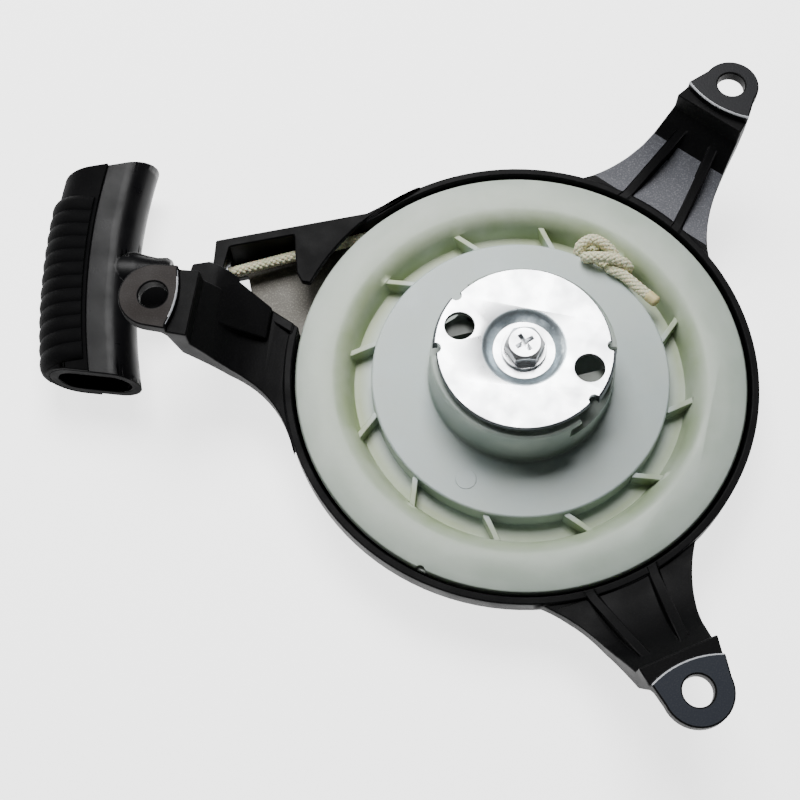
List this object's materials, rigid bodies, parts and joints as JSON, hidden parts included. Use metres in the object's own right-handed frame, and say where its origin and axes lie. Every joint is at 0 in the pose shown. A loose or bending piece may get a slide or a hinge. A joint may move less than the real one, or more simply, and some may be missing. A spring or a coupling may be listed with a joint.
{
  "type": "recoil starter",
  "caption": "Pull-cord recoil starter for a small engine: cast three-arm housing, nylon rope reel, friction plate with pawls, braided rope and hollow pull handle.",
  "frame": {"origin": "centre of the three-hole mounting circle, in the plane of the mounting pads, on the reel's axis", "axes": "+Z along the reel's axis towards the engine, -X towards the ear beside the rope outlet, +Y towards the side the rope leaves the reel"},
  "size_m": [0.2148, 0.196, 0.0424],
  "materials": {
    "painted_casting": "semi-gloss black paint on a die casting",
    "natural_nylon": "natural moulded nylon, slightly translucent, faint green cast",
    "zinc_plate": "bright zinc plate",
    "plain_steel": "plain turned steel",
    "spring_steel": "blued spring steel",
    "braided_cord": "cream braided polyester cord",
    "satin_handle": "satin black moulded plastic",
    "matt_handle": "matt black textured plastic with grip ridges"
  },
  "bodies": {
    "housing": {"housing": "painted_casting", "rope_guide": "plain_steel", "recoil_spring": "spring_steel", "thrust_washer": "plain_steel", "plate_sleeve": "plain_steel", "centre_screw": "zinc_plate", "rope_lead": "braided_cord"},
    "reel": {"rope_pulley": "natural_nylon", "rope_turns": "braided_cord", "pulley_knot": "braided_cord", "friction_spring": "spring_steel", "pawl_spring_a": "spring_steel", "pawl_spring_b": "spring_steel"},
    "plate": {"friction_plate": "zinc_plate", "drive_pins": "plain_steel"},
    "pawl_a": {"pawl_a": "natural_nylon"},
    "pawl_b": {"pawl_b": "natural_nylon"},
    "handle": {"handle_grip": "satin_handle", "handle_cover": "matt_handle", "handle_stop": "plain_steel", "handle_knot": "braided_cord"}
  },
  "joints": [
    {"name": "reel_spin", "type": "hinge", "parent": "housing", "child": "reel", "pos_m": [0, 0, -0.03], "axis": [0, 0, 1], "range_deg": [0, 900], "stiffness_Nm_per_rad": 0.03, "springref_deg": -458.37},
    {"name": "handle_pull", "type": "slide", "parent": "housing", "child": "handle", "axis": [-0.9903, -0.1392, 0], "range_m": [0, 0.88], "deforming": ["rope_lead"]},
    {"name": "plate_lag", "type": "hinge", "parent": "reel", "child": "plate", "pos_m": [0, 0, -0.007], "axis": [0, 0, 1], "range_deg": [-12, 0], "stiffness_Nm_per_rad": 0.02, "springref_deg": 11.46},
    {"name": "pawl_a_swing", "type": "hinge", "parent": "reel", "child": "pawl_a", "pos_m": [-0.00808, 0.01552, -0.013], "axis": [0, 0, 1], "range_deg": [-25, 0]},
    {"name": "pawl_b_swing", "type": "hinge", "parent": "reel", "child": "pawl_b", "pos_m": [0.00808, -0.01552, -0.013], "axis": [0, 0, 1], "range_deg": [-25, 0]}
  ],
  "couplings": [
    {"joint": "handle_pull", "follows": "reel_spin", "m_per_rad": 0.05555},
    {"joint": "pawl_a_swing", "follows": "plate_lag", "ratio": 2.0833},
    {"joint": "pawl_b_swing", "follows": "plate_lag", "ratio": 2.0833}
  ]
}
